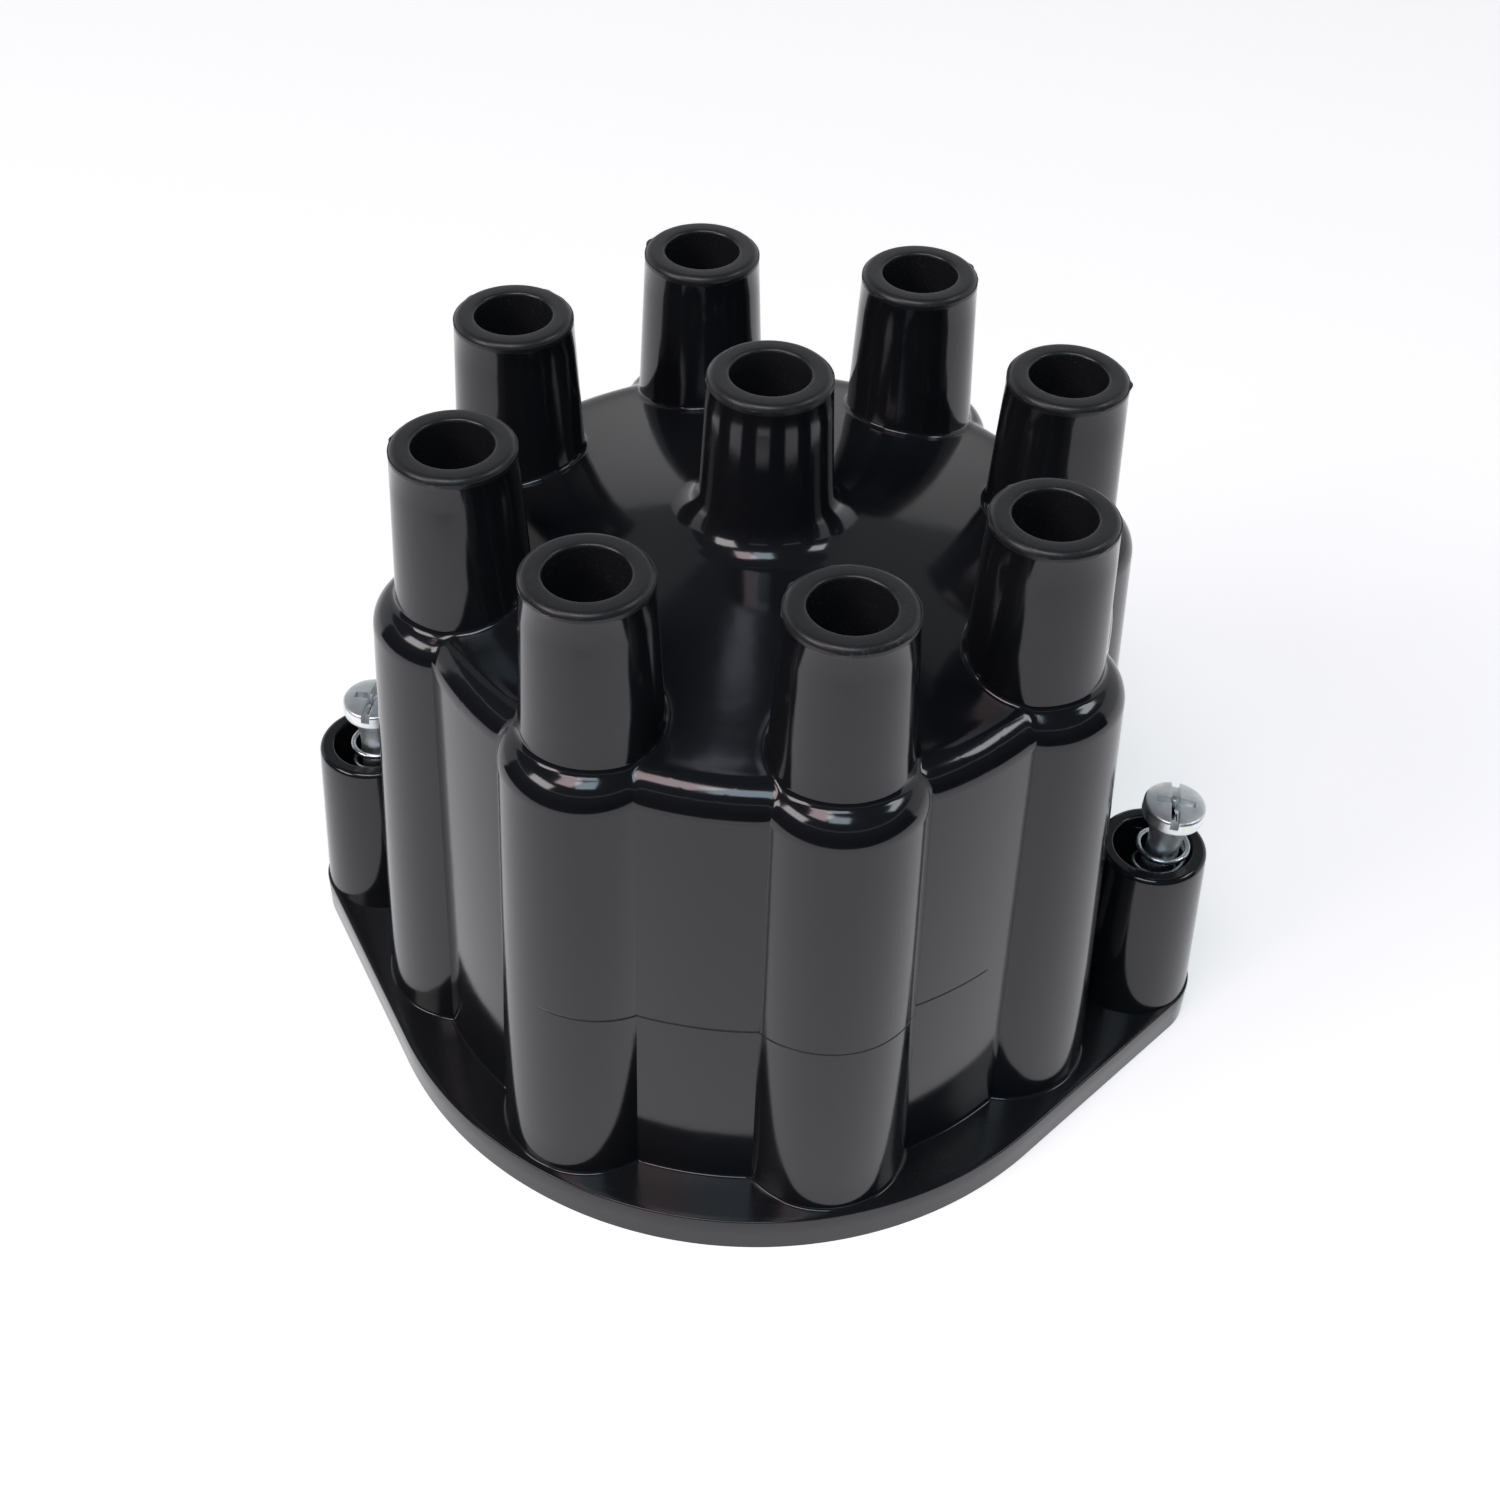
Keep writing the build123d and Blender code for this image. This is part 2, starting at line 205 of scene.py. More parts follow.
bend = np.radians(np.linspace(0, 90, 19))
paper_profile = np.concatenate(
    [
        np.stack([np.linspace(0.0, PAPER_REACH - PAPER_CURVE, 12)[:-1], np.zeros(11)], -1),
        np.stack([PAPER_REACH - PAPER_CURVE * (1 - np.sin(bend)), PAPER_CURVE * (1 - np.cos(bend))], -1),
        np.array([[PAPER_REACH, PAPER_WALL]]),
    ]
)
paper_points, paper_faces = turned(paper_profile)
table = skin("white_paper", [(paper_points, paper_faces)], merge=1e-5, unit=1.0)
paper, paper_surface, paper_where = new_material(
    "white_paper",
    {
        "Base Color": PAPER_WHITE,
        "Roughness": 0.9,
        "Specular IOR Level": 0.1,
        "Emission Color": (1.0, 1.0, 1.0, 1.0),
    },
)
camera_ray = paper_where.node("ShaderNodeLightPath", out="Is Camera Ray")
glossy_ray = Shade(camera_ray.socket.node.outputs["Is Glossy Ray"])
through_ray = Shade(camera_ray.socket.node.outputs["Is Transmission Ray"])
dress(paper_surface, {"Emission Strength": camera_ray.most(glossy_ray).most(through_ray) * PAPER_GLOW})
table.data.materials.append(paper)

front_turn = np.radians(np.linspace(*APRON_SWEEP, 96))
back_turn = np.radians(np.linspace(*BACK_SWEEP, 72))
front_x = np.array([[APRON_NEAR_X], [APRON_FAR], [APRON_FAR]]) * np.cos(front_turn)
front_y = np.array([[APRON_NEAR_Y], [APRON_FAR], [APRON_FAR]]) * np.sin(front_turn)
front_z = np.repeat([[SHEET_GAP], [SHEET_GAP], [APRON_TOP]], len(front_turn), 1)
back_x, back_y = PAPER_REACH * np.cos(back_turn), PAPER_REACH * np.sin(back_turn)
back_z = np.repeat([[PAPER_WALL], [BACK_WALL_TOP]], len(back_turn), 1)
apron = np.stack([front_x, front_y, front_z], -1)
back_wall = np.stack([np.tile(back_x, (2, 1)), np.tile(back_y, (2, 1)), back_z], -1)
dim_sheets = [(apron, quads(*front_x.shape)), (back_wall, quads(*back_z.shape))]
painted_reflection_room = skin("painted_reflection_room", dim_sheets, merge=1e-5, unit=1.0)
dim, dim_surface, where = new_material("painted_reflection_room", {"Base Color": APRON_BLACK, "Roughness": 1.0})
dim_surface.inputs["Specular IOR Level"].default_value = 0.0
dim_surface.inputs["Emission Strength"].default_value = 1.0
# A painted reflection: the sheets glow black low down, dim grey higher up the apron and lighter grey on the
# back wall.
level = where.node("ShaderNodeSeparateXYZ", sockets={"Vector": where}, out=2)
apron_glow = level.ramp(*APRON_FADE).tint(APRON_BLACK, APRON_GLOW_GREY)
dress(dim_surface, {"Emission Color": level.ramp(*BACK_FADE).tint(apron_glow, BACK_SHEEN_GLOW)})
painted_reflection_room.data.materials.append(dim)
painted_reflection_room.visible_camera = painted_reflection_room.visible_diffuse = painted_reflection_room.visible_shadow = False


# The camera: a 50 mm lens a short arm's length away, looking down at the front of the cap.
# Its place was fitted to the photograph together with the cap's proportions.
CAMERA_AZIMUTH = math.radians(7.997)
CAMERA_ELEVATION = math.radians(43.1)
CAMERA_ROLL = math.radians(1.95)
CAMERA_DISTANCE = 0.29238
CAMERA_LENS = 50.283
CAMERA_SENSOR = 36.0
AIM_HEIGHT = 0.038
AIM_RIGHT = -0.000889
AIM_UP = 0.001136

back = Vector(
    (
        math.sin(CAMERA_AZIMUTH) * math.cos(CAMERA_ELEVATION),
        -math.cos(CAMERA_AZIMUTH) * math.cos(CAMERA_ELEVATION),
        math.sin(CAMERA_ELEVATION),
    )
)
level_right = Vector((math.cos(CAMERA_AZIMUTH), math.sin(CAMERA_AZIMUTH), 0.0))
level_up = back.cross(level_right)
right = level_right * math.cos(CAMERA_ROLL) + level_up * math.sin(CAMERA_ROLL)
up = level_up * math.cos(CAMERA_ROLL) - level_right * math.sin(CAMERA_ROLL)
camera_data = bpy.data.cameras.new("camera")
camera_data.lens = CAMERA_LENS
camera_data.sensor_width = CAMERA_SENSOR
camera_data.clip_start = 0.02
camera = bpy.data.objects.new("camera", camera_data)
bpy.context.collection.objects.link(camera)
placing = Matrix((right, up, back)).transposed().to_4x4()
aim = Vector((0.0, 0.0, AIM_HEIGHT)) + right * AIM_RIGHT + up * AIM_UP
placing.translation = aim + back * CAMERA_DISTANCE
camera.matrix_world = placing
bpy.context.scene.camera = camera
bpy.context.scene.view_settings.view_transform = "Standard"


# The lamps: three soft boxes over the camera and to its left, white, pinkish and bluish, a smaller one to
# the right, and a dim strip overhead. They draw the bright patches on the cap's shoulders and roof.
# Each stands in a direction and at a distance from the cap's middle, and is aimed at it.
ROOM_GREY = (0.05, 0.058, 0.07, 1.0)
LAMPS = {
    "left_box": {"azimuth": -143, "elevation": 36, "away": 1.3, "size": (0.6, 0.36), "power": 5.0},
    "pink_box": {"azimuth": -119, "elevation": 62, "away": 1.2, "size": (0.36, 0.4), "power": 3.0},
    "blue_box": {"azimuth": -84, "elevation": 60, "away": 1.2, "size": (0.4, 0.38), "power": 2.8},
    "right_box": {"azimuth": 8, "elevation": 46, "away": 1.2, "size": (0.4, 0.2), "power": 1.6},
    "overhead_strip": {"azimuth": 104, "elevation": 63.4, "away": 1.2, "size": (0.07, 0.19), "power": 0.05},
}
LAMP_COLOURS = {
    "left_box": (1.0, 0.94, 0.94),
    "pink_box": (1.0, 0.8, 0.84),
    "blue_box": (0.72, 0.88, 1.0),
    "right_box": (0.92, 0.96, 1.0),
    "overhead_strip": (0.8, 0.84, 1.0),
}
CAP_MIDDLE = Vector((0.0, 0.0, 0.06))

for name, plan in LAMPS.items():
    azimuth, elevation = math.radians(plan["azimuth"]), math.radians(plan["elevation"])
    level = Vector((math.cos(azimuth), math.sin(azimuth), 0.0))
    away = level * math.cos(elevation) + Vector((0.0, 0.0, math.sin(elevation)))
    lamp_data = bpy.data.lights.new(name, "AREA")
    lamp_data.shape = "RECTANGLE"
    lamp_data.size, lamp_data.size_y = plan["size"]
    lamp_data.energy = plan["power"]
    lamp_data.color = LAMP_COLOURS[name]
    lamp = bpy.data.objects.new(name, lamp_data)
    bpy.context.collection.objects.link(lamp)
    lamp.location = CAP_MIDDLE + away * plan["away"]
    lamp.rotation_euler = (-away).to_track_quat("-Z", "Y").to_euler()
room = bpy.data.worlds.new("studio_room")
room.use_nodes = True
room.node_tree.nodes["Background"].inputs["Color"].default_value = ROOM_GREY
bpy.context.scene.world = room


# The cap itself: one compression moulding in black thermoset plastic, glossy where the mould was polished.
# Its outside is worked out here one eighth at a time, from a lead tower's bore out to the wall, and its
# inside and underside are the solid's own faces. A fine hairline runs across the front of the wall.
FLANGE_RADIUS = 54.5
FLANGE_THICKNESS = 5.6
FLANGE_EDGE_ROUND = 0.25
FLANGE_DULL_EDGE = 0.05
LATCH_X = 56.0
LUG_RADIUS = 9.2
WALL_FOOT, WALL_TOP = 47.2, 44.8
COLUMN_RING_FOOT, COLUMN_RING_TOP = 42.0, 39.1
COLUMN_FOOT, COLUMN_TOP = 11.4, 10.7
WALL_DRAFT = math.radians(2.5)
WALL_FOOT_ROUND = 0.45
SHOULDER = 74.0
SHOULDER_ROUND = 4.4
ROOF_CROWN = 81.0
ROOF_BLEND = 1.2
VALLEY_BLEND = 0.5
LEADS = 8
LEAD_STEP = 2 * math.pi / LEADS
FIRST_LEAD = math.radians(22.5)
TOWER_RING = 38.25
TOWER_TOP, CENTRE_TOP = 96.1, 101.2
RIM_RADIUS = 7.6
TOWER_SLOPE = math.tan(math.radians(2.7))
TOWER_FOOT_ROUND, CENTRE_FOOT_ROUND = 0.7, 3.2
RIM_ROUND = 0.9
RIM_BEAD = 0.09
FLASH_REACH = 0.28
MOUTH_ROUND = 0.5
BORE_RADIUS = 4.9
CUP_SEAT = 4.43
PLUG_CUP_TOP, COIL_CUP_TOP = 79.0, 86.5
BOSS_FOOT, BOSS_RIM = 8.9, 7.5
BOSS_TOP = 31.6
BOSS_RIM_ROUND = 0.8
WELL_RADIUS = 5.4
WELL_FLOOR = 12.0
WELL_MOUTH_ROUND = 0.4
SHANK_HOLE = 2.63
WALL_INSIDE, ROOF_INSIDE = 1.5, 3.0
RIM_DEPTH, RIM_REACH = 1.2, 9
TOUCH, BORE_MARGIN = 0.01, 0.1
POCKET_RADIUS, POCKET_CEILING = 7.4, 3.0
ROOF_RIM = WALL_TOP - SHOULDER_ROUND
CENTRE_FOOT = RIM_RADIUS + (CENTRE_TOP - ROOF_CROWN) * TOWER_SLOPE
TOWER_FOOT = RIM_RADIUS + (TOWER_TOP - SHOULDER) * TOWER_SLOPE
ROOF_SLOPE = (ROOF_CROWN - SHOULDER) / (ROOF_RIM - CENTRE_FOOT)
SKIRT_RADIUS = CENTRE_FOOT + CENTRE_FOOT_ROUND + 0.3
ROUND_FOOT = SHOULDER - SHOULDER_ROUND * (1 - math.sin(WALL_DRAFT))
COLUMN_STEPS, WALL_STEPS, SIDE_STEPS, SKIRT_STEPS = 24, 12, 36, 8
SIDE_CROWDING = 1.7
PLASTIC_BLACK, PLASTIC_BLUE_BLACK = (0.0092, 0.0094, 0.0102, 1.0), (0.0108, 0.0122, 0.0152, 1.0)
DULL_BLACK, DUST_GREY = (0.017, 0.0175, 0.0185, 1.0), (0.075, 0.075, 0.073, 1.0)
SATIN = {"room": 0.8, "underside": 0.8, "flange": 0.25, "rim": 1.0, "bore": 0.6}
PEEL_DEPTH = 0.00003
HAIRLINE_HEIGHT, HAIRLINE_RISE, HAIRLINE_RADIUS = 0.0346, 0.27, 0.046
HAIRLINE_CORE, HAIRLINE_EDGE, HAIRLINE_DEPTH, HAIRLINE_WAVER = 0.00005, 0.00017, 0.0001, 0.0008
HAIRLINE_START, HAIRLINE_STOP = math.radians(-113.5), math.radians(-40.3)


def soft_max(a, b, blend):
    """The larger of two values, with a rounded change-over: half of a + b + sqrt((a - b)^2 + blend^2)."""
    return (a + b + np.sqrt((a - b) ** 2 + blend**2)) / 2


def drafted(foot, top, height):
    """A size that changes evenly from the flange's top to the shoulder."""
    return foot + (top - foot) * (height - FLANGE_THICKNESS) / (SHOULDER - FLANGE_THICKNESS)


def outline(heights):
    """Half of an eighth of the outline at each height, from the column's crown to the middle of the wall.
    An arc of the column's circle runs up to where the wall's circle crosses it, then an arc of that one
    runs on. Gives x, y and the outward direction at each point."""
    heights = np.asarray(heights, float)[:, None]
    wall = drafted(WALL_FOOT, WALL_TOP, heights)
    ring = drafted(COLUMN_RING_FOOT, COLUMN_RING_TOP, heights)
    column = drafted(COLUMN_FOOT, COLUMN_TOP, heights)
    corner = np.arccos((ring**2 + wall**2 - column**2) / (2 * ring * wall))
    corner_turn = np.arctan2(wall * np.sin(corner), wall * np.cos(corner) - ring)
    gamma = corner_turn * np.linspace(0, 1, COLUMN_STEPS + 1)
    psi = corner + (LEAD_STEP / 2 - corner) * np.linspace(0, 1, WALL_STEPS + 1)[1:]
    x = np.concatenate([ring + column * np.cos(gamma), wall * np.cos(psi)], 1)
    y = np.concatenate([column * np.sin(gamma), wall * np.sin(psi)], 1)
    out_x = np.concatenate([np.cos(gamma), np.cos(psi)], 1)
    out_y = np.concatenate([np.sin(gamma), np.sin(psi)], 1)
    return x, y, out_x, out_y


def roof_height(x, y):
    """The roof's height in an eighth whose tower stands on +X: a low cone down to the wall's top edge,
    level under the towers' outer side, and rounded down by a quarter circle near the outline."""
    from_axis = np.hypot(x, y)
    cone = SHOULDER + ROOF_SLOPE * (soft_max(ROOF_RIM - from_axis, 0.0, ROOF_BLEND))
    wall = drafted(WALL_FOOT, WALL_TOP, ROUND_FOOT) - from_axis
    ring = drafted(COLUMN_RING_FOOT, COLUMN_RING_TOP, ROUND_FOOT)
    column = drafted(COLUMN_FOOT, COLUMN_TOP, ROUND_FOOT) - np.hypot(x - ring, y)
    nearest = np.maximum(np.maximum(wall, column), 0.0)
    inset = np.maximum(soft_max(wall, column, VALLEY_BLEND * nearest / (nearest + 0.5)), 0.0)
    short = np.clip(SHOULDER_ROUND * math.cos(WALL_DRAFT) - inset, 0.0, SHOULDER_ROUND)
    return cone - (SHOULDER_ROUND - np.sqrt(SHOULDER_ROUND**2 - short**2))


def arc(centre, radius, start, stop, steps):
    """Points of a circle between two angles in degrees."""
    angle = np.radians(np.linspace(start, stop, steps))
    return np.stack([centre[0] + radius * np.cos(angle), centre[1] + radius * np.sin(angle)], -1)


def flash(angle, seed):
    """The thin ragged fin that the mould leaves round a rim, from 0 to 1: three sines of random pitch and
    phase added together, of which only the highest crests stand out."""
    random = np.random.default_rng(seed)
    pitch = random.integers(2, 17, 5)[:, None]
    phase = random.uniform(0, 2 * np.pi, 5)[:, None]
    return np.clip(np.sin(pitch * angle + phase).sum(0) / 3 - 0.35, 0.0, 1.0)


def tower_rows(angle, centre, foot, top, cup_top, foot_round, seed):
    """Rows of (distance from the tower's axis, height) for each direction: from the cup's seat up the bore,
    over the rounded mouth and the rim with its bead and flash, down the drafted wall and round the foot.
    On the foot's round the gap to the wall is k(1 - cos a) and the gap to the roof k(1 - sin a)."""
    ones = np.ones_like(angle)
    fin = flash(angle, seed)
    wall_x = RIM_RADIUS - RIM_ROUND
    rows = [(ones * CUP_SEAT, ones * cup_top), (ones * BORE_RADIUS, ones * cup_top)]
    rows += [(ones * BORE_RADIUS, ones * z) for z in np.linspace(cup_top + 0.3, top - MOUTH_ROUND - 2, 3)]
    mouth = arc((BORE_RADIUS + MOUTH_ROUND, top - MOUTH_ROUND), MOUTH_ROUND, 180, 90, 6)
    rows += [(ones * q, ones * z) for q, z in mouth]
    rows.append((ones * (BORE_RADIUS + MOUTH_ROUND + wall_x) / 2, ones * top))
    rows += [(ones * q, ones * z) for q, z in arc((wall_x, top - RIM_ROUND), RIM_ROUND, 90, 20, 7)]
    edge = RIM_RADIUS + RIM_BEAD
    for reach, drop in ((0.4, 0.62), (1.0, 0.72), (0.9, 0.8), (0.15, 0.92), (0.0, 1.15)):
        rows.append((edge + FLASH_REACH * reach * fin, ones * (top - drop) + 0.12 * reach * fin))
    rows.append((ones * (RIM_RADIUS + 0.055), ones * (top - 1.3)))
    foot_rows = []
    for a in np.radians(np.linspace(0, 90, 9)):
        q = ones * (foot + foot_round)
        for _ in range(12):
            z = roof_height(centre + q * np.cos(angle), q * np.sin(angle)) + foot_round * (1 - math.sin(a))
            q = RIM_RADIUS + (top - z) * TOWER_SLOPE + foot_round * (1 - math.cos(a))
        foot_rows.append((q, z))
    for share in np.linspace(0, 1, 7)[1:-1]:
        z = (top - 1.45) * (1 - share) + foot_rows[0][1] * share
        rows.append((RIM_RADIUS + (top - z) * TOWER_SLOPE, z))
    return rows + foot_rows


def spoke_ends():
    """Where the spokes from a lead tower's axis end: on the outline, on the eighth's two sides and on the
    centre tower's skirt. The two halves mirror each other, so neighbouring eighths share their points."""
    x, y, _, _ = outline([ROUND_FOOT])
    edge = np.stack([x[0], y[0]], -1)
    half = LEAD_STEP / 2
    outer = np.hypot(*edge[-1])
    along = outer - (outer - SKIRT_RADIUS) * np.linspace(0, 1, SIDE_STEPS + 1)[1:] ** SIDE_CROWDING
    side = np.stack([along * math.cos(half), along * math.sin(half)], -1)
    turn = np.linspace(half, 0, SKIRT_STEPS // 2 + 1)[1:]
    skirt = SKIRT_RADIUS * np.stack([np.cos(turn), np.sin(turn)], -1)
    upper = np.concatenate([edge, side, skirt])
    return np.concatenate([upper, upper[1:-1][::-1] * np.array([1, -1])])


def spun(points, angle):
    """Points turned about the cap's axis."""
    x, y, z = np.moveaxis(points, -1, 0)
    cosine, sine = math.cos(angle), math.sin(angle)
    return np.stack([cosine * x - sine * y, sine * x + cosine * y, z], -1)


def around_towers(x, y):
    """How far each point lies from the cap's axis, and from the axis of the nearest lead tower."""
    from_axis = np.hypot(x, y)
    turn = (np.arctan2(y, x) - FIRST_LEAD + LEAD_STEP / 2) % LEAD_STEP - LEAD_STEP / 2
    return from_axis, np.hypot(from_axis * np.cos(turn) - TOWER_RING, from_axis * np.sin(turn))


def inside_room(from_axis, z):
    """Whether a point lies in the rotor's room: within the wall's and the roof's inner faces."""
    in_wall = from_axis < drafted(WALL_FOOT, WALL_TOP, z) - WALL_INSIDE
    return in_wall & (z < roof_height(from_axis, 0.0) - ROOF_INSIDE)


def both_halves(half, odd=False):
    """A full row from its half: the mirror image first, and the middle once."""
    return np.concatenate([(-half if odd else half)[:, :0:-1], half], -1)


ends = spoke_ends() - np.array([TOWER_RING, 0.0])
spoke_angle, spoke_length = np.arctan2(ends[:, 1], ends[:, 0]), np.hypot(ends[:, 0], ends[:, 1])
cap_sheets = []
for lead in range(LEADS):
    rows = tower_rows(spoke_angle, TOWER_RING, TOWER_FOOT, TOWER_TOP, PLUG_CUP_TOP, TOWER_FOOT_ROUND, lead)
    foot_q = rows[-1][0]
    for share in 1 - (1 - np.linspace(0, 1, 15)[1:]) ** 2:
        q = foot_q + (spoke_length - foot_q) * share
        rows.append((q, roof_height(TOWER_RING + q * np.cos(spoke_angle), q * np.sin(spoke_angle))))
    q, z = np.array([row[0] for row in rows[::-1]]), np.array([row[1] for row in rows[::-1]])
    eighth = np.stack([TOWER_RING + q * np.cos(spoke_angle), q * np.sin(spoke_angle), z], -1)
    cap_sheets.append((spun(eighth, FIRST_LEAD + lead * LEAD_STEP), quads(*q.shape, around=True)))

flare = np.radians(np.linspace(90, 0, 7))[:-1]
flare_reach = (WALL_FOOT_ROUND * (1 - np.cos(flare)))[:, None]
flare_z = FLANGE_THICKNESS + WALL_FOOT_ROUND * (1 - np.sin(flare))
wall_z = np.linspace(FLANGE_THICKNESS + WALL_FOOT_ROUND, ROUND_FOOT, 13)
flare_x, flare_y, out_x, out_y = outline(flare_z)
wall_x, wall_y, _, _ = outline(wall_z)
side_x = both_halves(np.concatenate([flare_x + flare_reach * out_x, wall_x]))
side_y = both_halves(np.concatenate([flare_y + flare_reach * out_y, wall_y]), odd=True)
side_z = np.repeat(np.concatenate([flare_z, wall_z])[:, None], side_x.shape[1], 1)
side_wall = np.stack([side_x, side_y, side_z], -1)
for lead in range(LEADS):
    cap_sheets.append((spun(side_wall, FIRST_LEAD + lead * LEAD_STEP), quads(*side_x.shape)))

skirt_angle = np.arange(LEADS * SKIRT_STEPS) * LEAD_STEP / SKIRT_STEPS + FIRST_LEAD - LEAD_STEP / 2
rows = tower_rows(skirt_angle, 0.0, CENTRE_FOOT, CENTRE_TOP, COIL_CUP_TOP, CENTRE_FOOT_ROUND, LEADS)
skirt_foot = roof_height(SKIRT_RADIUS, 0.0)
rows.append((np.full_like(skirt_angle, SKIRT_RADIUS), np.full_like(skirt_angle, skirt_foot)))
q, z = np.array([row[0] for row in rows[::-1]]), np.array([row[1] for row in rows[::-1]])
centre_tower = np.stack([q * np.cos(skirt_angle), q * np.sin(skirt_angle), z], -1)
cap_sheets.append((centre_tower, quads(*q.shape, around=True)))

lug_turn = math.acos((FLANGE_RADIUS - LUG_RADIUS) / LATCH_X)
lug_arc = np.linspace(-lug_turn, lug_turn, 41)
rim_arc = np.linspace(lug_turn, math.pi - lug_turn, 97)
edge_x = np.concatenate([np.full(41, LATCH_X), np.zeros(97), np.full(41, -LATCH_X), np.zeros(97)])
edge_radius = np.concatenate([np.full(41, LUG_RADIUS), np.full(97, FLANGE_RADIUS)] * 2)
edge_turn = np.concatenate([lug_arc, rim_arc, lug_arc + math.pi, rim_arc + math.pi])
edge_x, edge_y = edge_x + edge_radius * np.cos(edge_turn), edge_radius * np.sin(edge_turn)
edge_rows = np.concatenate(
    [
        [[0.0, 0.0], [0.0, FLANGE_DULL_EDGE], [0.0, FLANGE_THICKNESS / 2]],
        arc((-FLANGE_EDGE_ROUND, FLANGE_THICKNESS - FLANGE_EDGE_ROUND), FLANGE_EDGE_ROUND, 0, 90, 5),
    ]
)
flange_x = edge_x + edge_rows[:, :1] * np.cos(edge_turn)
flange_y = edge_y + edge_rows[:, :1] * np.sin(edge_turn)
inner = (WALL_FOOT - 3.0) / np.hypot(flange_x[-1], flange_y[-1])
inwards = 1 + (inner - 1) * np.linspace(0, 1, 15)[1:, None]
flange_x = np.concatenate([flange_x, flange_x[-1] * inwards])
flange_y = np.concatenate([flange_y, flange_y[-1:] * inwards])
flange_rows = np.concatenate([edge_rows[:, 1], np.full(14, FLANGE_THICKNESS)])
flange_z = np.repeat(flange_rows[:, None], len(edge_x), 1)
flange = np.stack([flange_x, flange_y, flange_z], -1)
flange_faces = quads(*flange_x.shape, around=True)
from_boss = np.hypot(np.abs(flange_x) - LATCH_X, flange_y).ravel()[flange_faces].max(1)
on_top = flange_z.ravel()[flange_faces].min(1) > FLANGE_THICKNESS - TOUCH
under_boss = (from_boss < BOSS_FOOT - 0.5) & on_top
cap_sheets.append((flange, flange_faces[~under_boss]))

boss_side = np.stack([np.linspace(BOSS_FOOT, BOSS_RIM, 9), np.linspace(FLANGE_THICKNESS, BOSS_TOP, 9)], -1)
boss_profile = np.concatenate(
    [
        boss_side[:-1],
        arc((BOSS_RIM - BOSS_RIM_ROUND, BOSS_TOP - BOSS_RIM_ROUND), BOSS_RIM_ROUND, 0, 90, 8),
        arc((WELL_RADIUS + WELL_MOUTH_ROUND, BOSS_TOP - WELL_MOUTH_ROUND), WELL_MOUTH_ROUND, 90, 180, 6),
        [[WELL_RADIUS, 24.0], [WELL_RADIUS, WELL_FLOOR]],
        [[SHANK_HOLE, WELL_FLOOR], [SHANK_HOLE, POCKET_CEILING]],
    ]
)
cap_sheets.append(turned(boss_profile, centre=(LATCH_X, 0.0)))
cap_sheets.append(turned(boss_profile, centre=(-LATCH_X, 0.0)))

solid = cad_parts["cap_body"].data
solid_points = np.empty(len(solid.vertices) * 3)
solid.vertices.foreach_get("co", solid_points)
solid_points = solid_points.reshape(-1, 3) * 1000
solid.calc_loop_triangles()
solid_faces = np.empty(len(solid.loop_triangles) * 3, int)
solid.loop_triangles.foreach_get("vertices", solid_faces)
solid_faces = solid_faces.reshape(-1, 3)
x, y, z = solid_points[solid_faces].mean(1).T
from_axis, from_tower = around_towers(x, y)
from_latch = np.hypot(np.abs(x) - LATCH_X, y)
in_cups = (from_tower < CUP_SEAT + BORE_MARGIN) & (z < PLUG_CUP_TOP - TOUCH)
in_cups |= (from_axis < CUP_SEAT + BORE_MARGIN) & (z < COIL_CUP_TOP - TOUCH)
in_pockets = (from_latch < POCKET_RADIUS + BORE_MARGIN) & (z < POCKET_CEILING + TOUCH)
inside = inside_room(from_axis, z) | in_cups | in_pockets | (z < TOUCH)
cap_sheets.append((solid_points, solid_faces[inside]))
cap = skin("cap_moulding", cap_sheets, merge=0.004)

points = np.empty(len(cap.data.vertices) * 3)
cap.data.vertices.foreach_get("co", points)
x, y, z = (points.reshape(-1, 3) * 1000).T
from_axis, from_tower = around_towers(x, y)
on_rim = (from_tower < RIM_REACH) & (z > TOWER_TOP - RIM_DEPTH)
on_rim |= (from_axis < RIM_REACH) & (z > CENTRE_TOP - RIM_DEPTH)
in_bore = (np.minimum(from_tower, from_axis) < BORE_RADIUS + BORE_MARGIN) & (z < CENTRE_TOP - RIM_DEPTH)
satin = inside_room(from_axis, z) * SATIN["room"]
satin[z < TOUCH] = SATIN["underside"]
satin[np.abs(z - FLANGE_THICKNESS) < TOUCH] = SATIN["flange"]
satin[on_rim] = SATIN["rim"]
satin[in_bore] = SATIN["bore"]
cap.data.attributes.new("satin", "FLOAT", "POINT").data.foreach_set("value", satin)

plastic, plastic_surface, where = new_material("moulded_plastic", {"IOR": 1.5})
satin = where.node("ShaderNodeAttribute", {"attribute_name": "satin"}, out="Fac")
cloud = where.noise(38.0, 4.0)
specks = where.noise(2300.0, 2.0).ramp(0.58, 0.74)
wipe = where.noise(160.0, 5.0, 0.7).ramp(0.45, 0.75)
polished = cloud.tint(PLASTIC_BLACK, PLASTIC_BLUE_BLACK)
east = where.node("ShaderNodeSeparateXYZ", sockets={"Vector": where})
north, height = Shade(east.socket.node.outputs["Y"]), Shade(east.socket.node.outputs["Z"])
turn = where.maths("ARCTAN2", north, east)
radius = where.maths("SQRT", east * east + north * north, 0.0)
waver = (where.noise(60.0, 1.0) - 0.5) * HAIRLINE_WAVER
line_height = HAIRLINE_HEIGHT + (radius - HAIRLINE_RADIUS) * HAIRLINE_RISE + waver
off_line = where.maths("ABSOLUTE", height - line_height, 0.0)
in_reach = turn.ramp(HAIRLINE_START, HAIRLINE_START + 0.12) - turn.ramp(HAIRLINE_STOP - 0.02, HAIRLINE_STOP)
hairline = (1.0 - off_line.ramp(HAIRLINE_CORE, HAIRLINE_EDGE)) * in_reach
skin_height = where.noise(150.0, 2.0) * 0.7 + satin * where.noise(2300.0, 3.0) * 0.5
dull = (specks * wipe).tint(DULL_BLACK, DUST_GREY)
